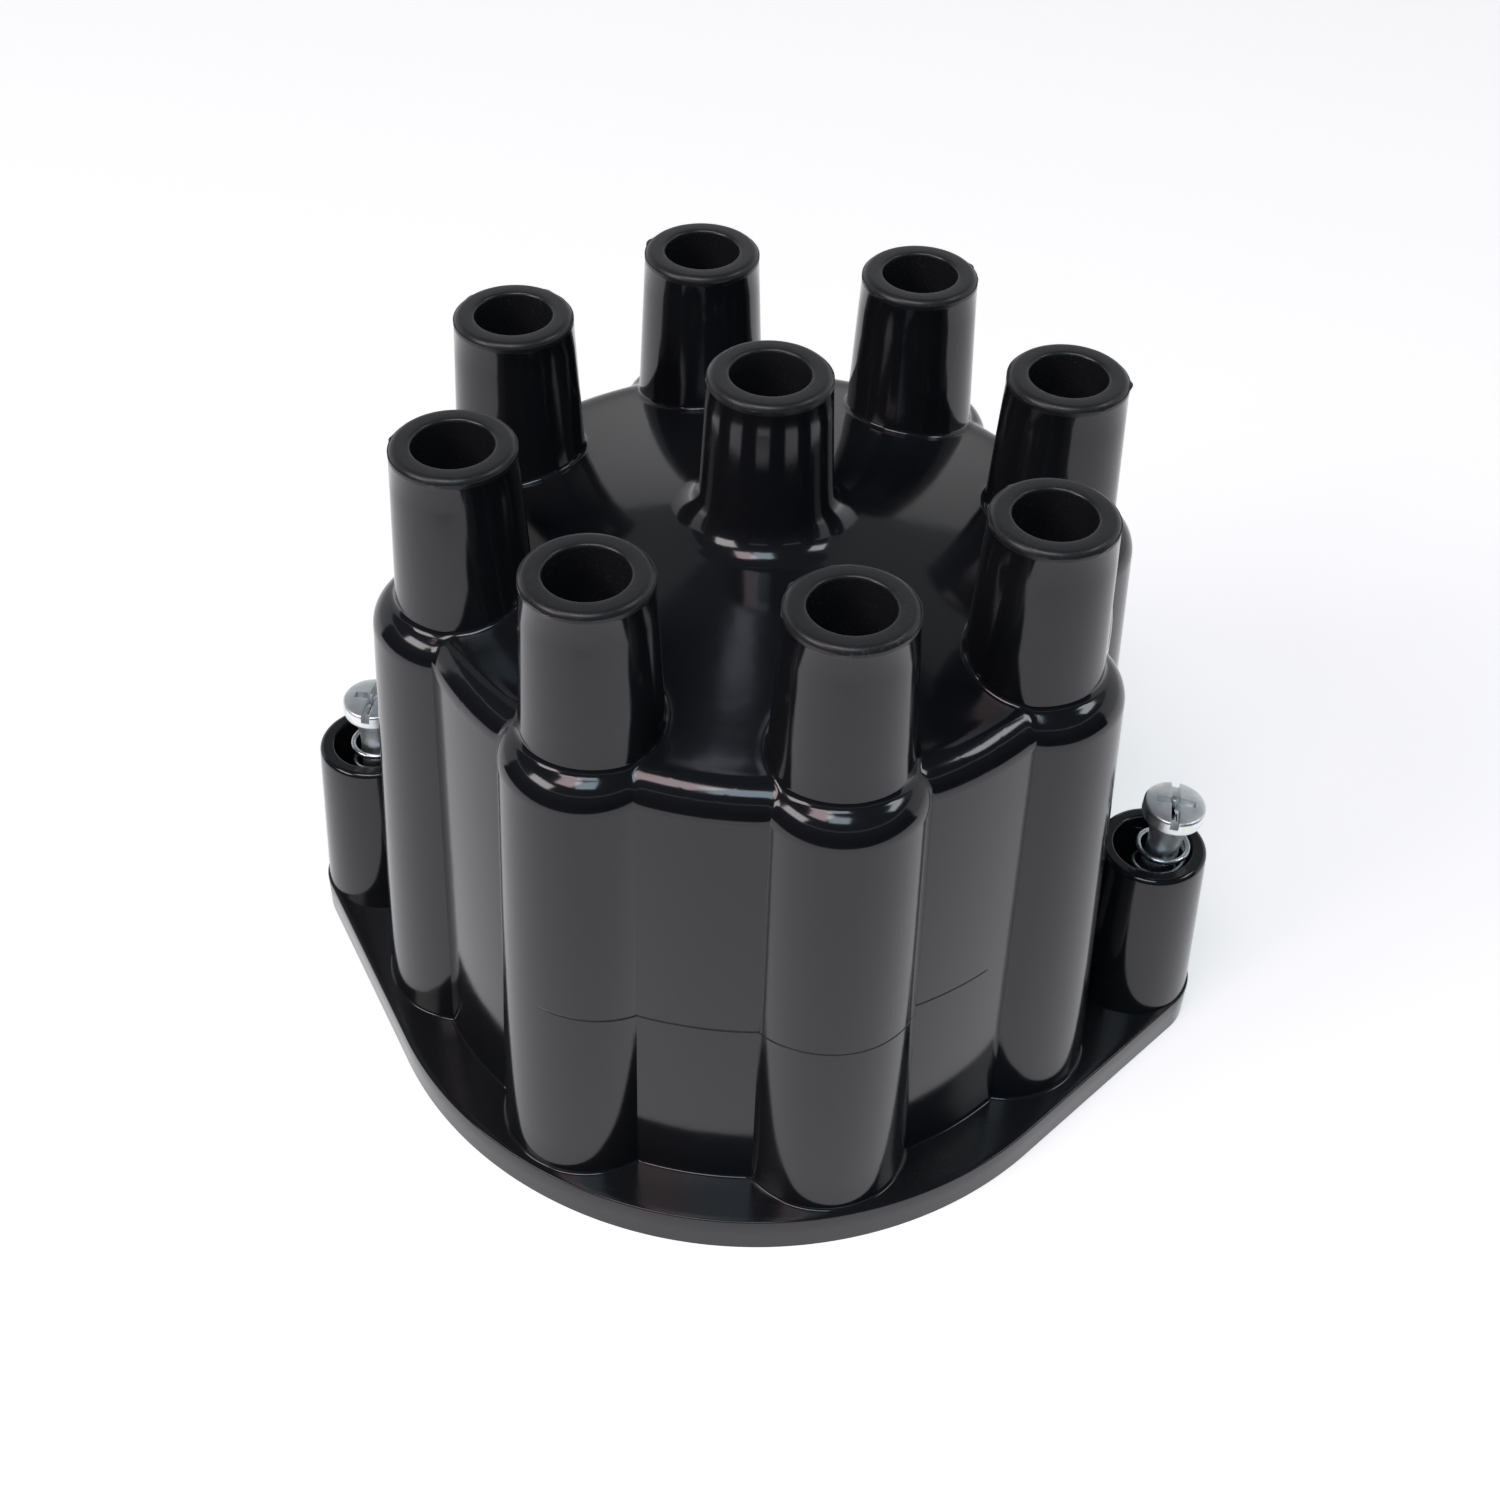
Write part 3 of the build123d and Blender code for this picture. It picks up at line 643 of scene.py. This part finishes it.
dress(
    plastic_surface,
    {
        "Base Color": satin.tint(polished, dull),
        "Roughness": 0.09 + cloud * 0.04 + wipe * 0.03 + satin * (0.24 + specks * 0.15) + hairline * 0.6,
        "Normal": (skin_height - hairline * (HAIRLINE_DEPTH / PEEL_DEPTH)).relief(PEEL_DEPTH),
    },
)
cap.data.materials.append(plastic)
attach(cap, "cap")
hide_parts("cap_body")


# The nine terminals: turned brass, moulded into the cap. Each has a cup for the lead's snap-in end and,
# on the plug leads, a post down into the cap that the rotor's arm passes with a spark's gap.
CUP_OUTER, CUP_INNER = 4.4, 3.8
CUP_DEPTH, CUP_FLOOR = 7.0, 1.2
LIP_ROUND, SNAP_RIDGE = 0.25, 0.22
PLUG_CUP_FOOT, COIL_CUP_FOOT = 72.0, 79.5
POST_RADIUS, POST_TIP, POST_TIP_ROUND = 2.5, 54.5, 0.8
STEM_RADIUS, STEM_TIP = 1.8, 75.0
BRASS_YELLOW, BRASS_BROWN = (0.70, 0.52, 0.24, 1.0), (0.42, 0.27, 0.12, 1.0)


def terminal_profile(stem_radius, stem_tip, tip_round, cup_foot):
    """Rows of (radius, height): the stem's rounded tip, the stem, the cup's outside, its rounded lip, the
    ridge that holds the lead, and the cup's floor."""
    top, lip = cup_foot + CUP_DEPTH, (CUP_OUTER + CUP_INNER) / 2
    ridge = CUP_INNER - SNAP_RIDGE * np.sin(np.linspace(0, np.pi, 7)) ** 2
    return np.concatenate(
        [
            [[0.0, stem_tip]],
            arc((stem_radius - tip_round, stem_tip + tip_round), tip_round, -90, 0, 6),
            [[stem_radius, cup_foot - 0.02], [CUP_OUTER - LIP_ROUND, cup_foot]],
            arc((CUP_OUTER - LIP_ROUND, cup_foot + LIP_ROUND), LIP_ROUND, -90, 0, 4),
            arc((lip, top - CUP_OUTER + lip), CUP_OUTER - lip, 0, 180, 9),
            np.stack([ridge, np.linspace(top - 2.0, top - 3.6, 7)], -1),
            [[CUP_INNER, cup_foot + CUP_FLOOR + 0.3], [CUP_INNER - 0.3, cup_foot + CUP_FLOOR]],
            [[0.0, cup_foot + CUP_FLOOR]],
        ]
    )


brass, brass_surface, where = new_material("terminal_brass", {"Metallic": 1.0})
turning = where.node("ShaderNodeVectorMath", {"operation": "MULTIPLY"}, {0: where, 1: (1.0, 1.0, 14.0)})
tarnish = where.noise(420.0, 4.0).ramp(0.4, 0.72)
dress(
    brass_surface,
    {
        "Base Color": tarnish.tint(BRASS_YELLOW, BRASS_BROWN),
        "Roughness": 0.24 + tarnish * 0.2,
        "Normal": turning.noise(900.0, 2.0).relief(0.00001),
    },
)
for lead in range(LEADS):
    turn = FIRST_LEAD + lead * LEAD_STEP
    place = (TOWER_RING * math.cos(turn), TOWER_RING * math.sin(turn))
    profile = terminal_profile(POST_RADIUS, POST_TIP, POST_TIP_ROUND, PLUG_CUP_FOOT)
    terminal = skin(f"plug_lead_terminal_{lead + 1}", [turned(profile, 64, place)])
    terminal.data.materials.append(brass)
    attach(terminal, "cap")
    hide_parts(f"plug_terminal_{lead + 1}")
profile = terminal_profile(STEM_RADIUS, STEM_TIP, LIP_ROUND, COIL_CUP_FOOT)
terminal = skin("coil_lead_terminal", [turned(profile, 64)])
terminal.data.materials.append(brass)
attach(terminal, "cap")
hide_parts("coil_terminal")


# The carbon brush: a pressed and ground carbon rod with a round nose, which slides in the centre boss
# and rubs on the middle of the rotor's arm.
BRUSH_RADIUS, BRUSH_LENGTH, BRUSH_NOSE = 3.0, 7.5, 1.0
BRUSH_TOP = 65.9
BRUSH_CHAMFER = 0.3
CARBON_BLACK, CARBON_GREY = (0.022, 0.022, 0.023, 1.0), (0.055, 0.055, 0.057, 1.0)

brush_foot = BRUSH_TOP - BRUSH_LENGTH
brush_profile = np.concatenate(
    [
        [[0.0, brush_foot]],
        arc((BRUSH_RADIUS - BRUSH_NOSE, brush_foot + BRUSH_NOSE), BRUSH_NOSE, -90, 0, 9),
        [[BRUSH_RADIUS, BRUSH_TOP - BRUSH_CHAMFER], [BRUSH_RADIUS - BRUSH_CHAMFER, BRUSH_TOP]],
        [[0.0, BRUSH_TOP]],
    ]
)
brush = skin("pressed_carbon_brush", [turned(brush_profile, 64)])
carbon, carbon_surface, where = new_material("carbon")
grain = where.noise(3000.0, 4.0)
streaks = where.node("ShaderNodeVectorMath", {"operation": "MULTIPLY"}, {0: where, 1: (1.0, 1.0, 0.08)})
worn = streaks.noise(1500.0, 3.0).ramp(0.42, 0.7)
dress(
    carbon_surface,
    {
        "Base Color": worn.tint(CARBON_BLACK, CARBON_GREY),
        "Roughness": 0.62 - worn * 0.22,
        "Normal": grain.relief(0.00004),
    },
)
brush.data.materials.append(carbon)
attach(brush, "brush")
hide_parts("carbon_brush")


# The springs: zinc-plated drawn wire, wound close at both ends. One behind the brush, and one in each
# boss, between the floor of its well and the neck of its latch screw.
LATCH_LEANS = {"right": math.radians(3.2), "left": math.radians(1.8)}
LEAN_PIVOT = 7.5
LATCH_SPRING = {"outer": 3.8, "wire": 0.8, "turns": 6, "seat": 12.3, "rise": 20.2}
BRUSH_SPRING = {"outer": 2.4, "wire": 0.5, "turns": 5, "seat": 66.2, "rise": 8.5}
WIRE_GREY, WIRE_SHADE = (0.66, 0.69, 0.71, 1.0), (0.42, 0.47, 0.50, 1.0)


def wound(outer, wire, turns, seat, rise):
    """A round wire carried along a helix. Its pitch is one wire over the last turn at either end and wider
    between, and the height is the running sum of the pitch. Each end closes to a point in its middle."""
    along = np.linspace(0, turns, turns * 48 + 1)
    open_share = np.clip(np.minimum(along - 0.75, turns - 0.75 - along) / 0.5, 0, 1)
    open_share = open_share**2 * (3 - 2 * open_share)
    steps = np.diff(along)
    open_turns = np.sum((open_share[1:] + open_share[:-1]) / 2 * steps)
    wide = (rise - wire - wire * 1.02 * (turns - open_turns)) / open_turns
    pitch = wire * 1.02 * (1 - open_share) + wide * open_share
    height = np.concatenate([[0.0], np.cumsum((pitch[1:] + pitch[:-1]) / 2 * steps)])
    turn, radius = 2 * np.pi * along, outer - wire / 2
    centre = np.stack([radius * np.cos(turn), radius * np.sin(turn), seat + wire / 2 + height], -1)
    forward = np.stack([-radius * np.sin(turn), radius * np.cos(turn), pitch / (2 * np.pi)], -1)
    forward /= np.linalg.norm(forward, axis=1, keepdims=True)
    outward = np.stack([np.cos(turn), np.sin(turn), np.zeros_like(turn)], -1)
    upward = np.cross(outward, forward)
    around = np.linspace(0, 2 * np.pi, 20, endpoint=False)[None, :, None]
    ring = np.cos(around) * outward[:, None] - np.sin(around) * upward[:, None]
    thick = np.full(len(along), wire / 2)
    thick = np.concatenate([[0.0, 0.8 * wire / 2], thick, [0.8 * wire / 2, 0.0]])[:, None, None]
    pick = np.concatenate([[0, 0], np.arange(len(along)), [len(along) - 1] * 2])
    return centre[pick][:, None] + thick * ring[pick], quads(len(pick), 20, around=True)


def leaned(points, side, lean):
    """Points made about an upright axis, moved onto a latch's leaning one: the points' x runs to the
    cap's back, and their height is measured along the leaning axis."""
    x, y, z = np.moveaxis(np.asarray(points, float), -1, 0)
    above = z - LEAN_PIVOT
    place_x = side * LATCH_X - y * math.cos(lean) + above * math.sin(lean)
    return np.stack([place_x, x, LEAN_PIVOT + y * math.sin(lean) + above * math.cos(lean)], -1)


wire_metal, wire_surface, where = new_material("spring_wire", {"Metallic": 1.0})
plating = where.noise(700.0, 4.0).ramp(0.35, 0.7)
drawn = where.node("ShaderNodeVectorMath", {"operation": "MULTIPLY"}, {0: where, 1: (1.0, 1.0, 6.0)})
dress(
    wire_surface,
    {
        "Base Color": plating.tint(WIRE_GREY, WIRE_SHADE),
        "Roughness": 0.2 + plating * 0.14,
        "Normal": drawn.noise(2500.0, 2.0).relief(0.000006),
    },
)
brush_spring = skin("brush_pressure_spring", [wound(**BRUSH_SPRING)])
brush_spring.data.materials.append(wire_metal)
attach(brush_spring, "cap")
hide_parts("brush_spring")
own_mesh(brush_spring)
for side_name, side in (("right", 1), ("left", -1)):
    lean = LATCH_LEANS[side_name]
    spring_points, spring_faces = wound(**LATCH_SPRING)
    spring = skin(f"{side_name}_wound_spring", [(leaned(spring_points, side, lean), spring_faces)])
    spring.data.materials.append(wire_metal)
    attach(spring, "cap")
    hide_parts(f"{side_name}_latch_spring")
    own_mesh(spring)


# The latch screws: cold-headed steel with bright zinc plating. The head has a screwdriver slot with a
# cross recess over it, a rounded shoulder, and a neck that flares up from the plain shank.
SHANK_RADIUS, SHANK_FOOT = 2.3, 0.7
NECK_RADIUS, NECK_FOOT = 3.4, 32.4
HEAD_RADIUS, HEAD_SEAT, HEAD_HEIGHT = 4.3, 37.4, 2.9
HEAD_SIDE_ROUND, HEAD_EDGE_ROUND, HEAD_DOME = 0.75, 0.45, 0.32
SLOT_WIDTH, SLOT_DEPTH = 1.2, 1.4
CROSS_WIDTH, CROSS_LENGTH, CROSS_DEPTH, CROSS_TAPER = 1.3, 5.6, 2.1, 0.6
ZINC_BRIGHT, ZINC_BLUE = (0.93, 0.94, 0.94, 1.0), (0.74, 0.81, 0.84, 1.0)
ZINC_YELLOW = (0.84, 0.82, 0.72, 1.0)


def wedge(length, width, top, depth, taper):
    """A cutter's block: a box whose lower face is narrower and shorter by the taper."""
    x = np.array([-1, 1, 1, -1]) * length / 2
    y = np.array([-1, -1, 1, 1]) * width / 2
    low_x, low_y = x * (1 - taper * width / length), y * taper
    low = np.stack([low_x, low_y, np.full(4, top - depth)], -1)
    high = np.stack([x, y, np.full(4, top + 1.0)], -1)
    faces = [[3, 2, 1, 0], [4, 5, 6, 7], [0, 1, 5, 4], [1, 2, 6, 5], [2, 3, 7, 6], [3, 0, 4, 7]]
    return np.concatenate([low, high]), np.array(faces)


def carved(piece, cutters, edge):
    """The piece with each cutter taken out of it and its sharp edges broken by the given width."""
    for cutter in cutters:
        cut = piece.modifiers.new("cut", "BOOLEAN")
        cut.object, cut.operation, cut.solver = cutter, "DIFFERENCE", "EXACT"
    bevel = piece.modifiers.new("broken_edges", "BEVEL")
    bevel.width, bevel.segments, bevel.limit_method = edge * 0.001, 2, "ANGLE"
    bevel.angle_limit = math.radians(38)
    shape = bpy.data.meshes.new_from_object(piece.evaluated_get(bpy.context.evaluated_depsgraph_get()))
    piece.modifiers.clear()
    piece.data = shape
    for cutter in cutters:
        bpy.data.objects.remove(cutter)
    shape.shade_smooth()
    shape.set_sharp_from_angle(angle=math.radians(30))
    return piece


zinc, zinc_surface, where = new_material("bright_zinc", {"Metallic": 1.0})
passivation = where.noise(330.0, 3.0)
scuffs = where.noise(2600.0, 4.0, 0.7).ramp(0.5, 0.78)
hue = passivation.ramp(0.42, 0.58).tint(ZINC_BRIGHT, ZINC_BLUE)
dress(
    zinc_surface,
    {
        "Base Color": passivation.ramp(0.55, 0.7).tint(hue, ZINC_YELLOW),
        "Roughness": 0.36 + scuffs * 0.14,
        "Normal": (where.noise(900.0, 2.0) * 0.6 + scuffs * 0.4).relief(0.00002),
    },
)
head_top = HEAD_SEAT + HEAD_HEIGHT
flare_share = np.linspace(0, 1, 9)
head_crown = np.linspace(HEAD_RADIUS - HEAD_EDGE_ROUND, 0.0, 8)
head_rim_z = head_top - HEAD_DOME
screw_profile = np.concatenate(
    [
        [[0.0, SHANK_FOOT], [SHANK_RADIUS - 0.2, SHANK_FOOT], [SHANK_RADIUS, SHANK_FOOT + 0.2]],
        np.stack(
            [
                SHANK_RADIUS + (NECK_RADIUS - SHANK_RADIUS) * flare_share**2,
                NECK_FOOT + (HEAD_SEAT - NECK_FOOT) * flare_share,
            ],
            -1,
        ),
        arc((HEAD_RADIUS - HEAD_SIDE_ROUND, HEAD_SEAT + HEAD_SIDE_ROUND), HEAD_SIDE_ROUND, -90, 0, 8),
        arc((HEAD_RADIUS - HEAD_EDGE_ROUND, head_rim_z - HEAD_EDGE_ROUND), HEAD_EDGE_ROUND, 0, 80, 6),
        np.stack([head_crown, head_top - HEAD_DOME * (head_crown / HEAD_RADIUS) ** 2], -1)[1:],
    ]
)
for side_name, side in (("right", 1), ("left", -1)):
    lean = LATCH_LEANS[side_name]
    slot_cut = wedge(4 * HEAD_RADIUS, SLOT_WIDTH, head_top, SLOT_DEPTH, 1.0)
    cross_cut = wedge(CROSS_LENGTH, CROSS_WIDTH, head_top, CROSS_DEPTH, CROSS_TAPER)
    across = (cross_cut[0][:, [1, 0, 2]] * [-1, 1, 1], cross_cut[1])
    cutters = [
        skin(f"cutter_{number}", [(leaned(points, side, lean), faces)])
        for number, (points, faces) in enumerate((slot_cut, cross_cut, across))
    ]
    shank_points, shank_faces = turned(screw_profile, 96)
    screw = skin(f"{side_name}_screw", [(leaned(shank_points, side, lean), shank_faces)])
    carved(screw, cutters, 0.06)
    screw.data.materials.append(zinc)
    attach(screw, f"{side_name}_latch")
    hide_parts(f"{side_name}_latch_screw")


# The hooks: stamped steel plates with bright zinc plating, each staked on the foot of its screw.
# One arm reaches out under the bowl's lip when the screw is pushed down and turned.
HOOK_HUB, HOOK_HOLE = 3.8, 2.33
HOOK_REACH, HOOK_ARM_WIDTH = 6.6, 5.0
HOOK_FOOT, HOOK_THICKNESS, HOOK_EDGE_ROUND = 0.7, 1.4, 0.22
HOOK_STEPS = 144


def hook_outline(angle):
    """How far the plate's edge lies from the screw: the hub's circle, or the arm where that reaches
    further, which is a strip of even width closed by a half circle."""
    half = HOOK_ARM_WIDTH / 2
    tip = HOOK_REACH - half
    sine, cosine = np.abs(np.sin(angle)), np.cos(angle)
    to_side = np.where(cosine > 0, half / np.maximum(sine, 1e-9), 0.0)
    to_tip = tip * cosine + np.sqrt(np.maximum(half**2 - (tip * sine) ** 2, 0.0))
    arm = np.where(to_side * cosine > tip, to_tip, to_side)
    return np.maximum(arm, HOOK_HUB)


hook_turn = np.linspace(0, 2 * np.pi, HOOK_STEPS, endpoint=False)
hook_top = HOOK_FOOT + HOOK_THICKNESS
hook_edge = np.concatenate(
    [
        arc((-HOOK_EDGE_ROUND, HOOK_FOOT + HOOK_EDGE_ROUND), HOOK_EDGE_ROUND, -90, 0, 4),
        arc((-HOOK_EDGE_ROUND, hook_top - HOOK_EDGE_ROUND), HOOK_EDGE_ROUND, 0, 90, 4),
    ]
)
hook_reach = hook_outline(hook_turn) + hook_edge[:, :1]
hook_z = np.repeat(hook_edge[:, 1:], HOOK_STEPS, 1)
hole = np.full((1, HOOK_STEPS), HOOK_HOLE)
hook_reach = np.concatenate([hole, hook_reach, hole, hole])
hook_z = np.concatenate([hook_z[:1], hook_z, hook_z[-1:], hook_z[:1]])
hook_points = np.stack([hook_reach * np.cos(hook_turn), hook_reach * np.sin(hook_turn), hook_z], -1)
for side_name, side in (("right", 1), ("left", -1)):
    placed = leaned(hook_points, side, LATCH_LEANS[side_name])
    hook = skin(f"{side_name}_stamped_hook", [(placed, quads(*hook_reach.shape, around=True))])
    hook.data.materials.append(zinc)
    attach(hook, f"{side_name}_latch")
    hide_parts(f"{side_name}_latch_hook")
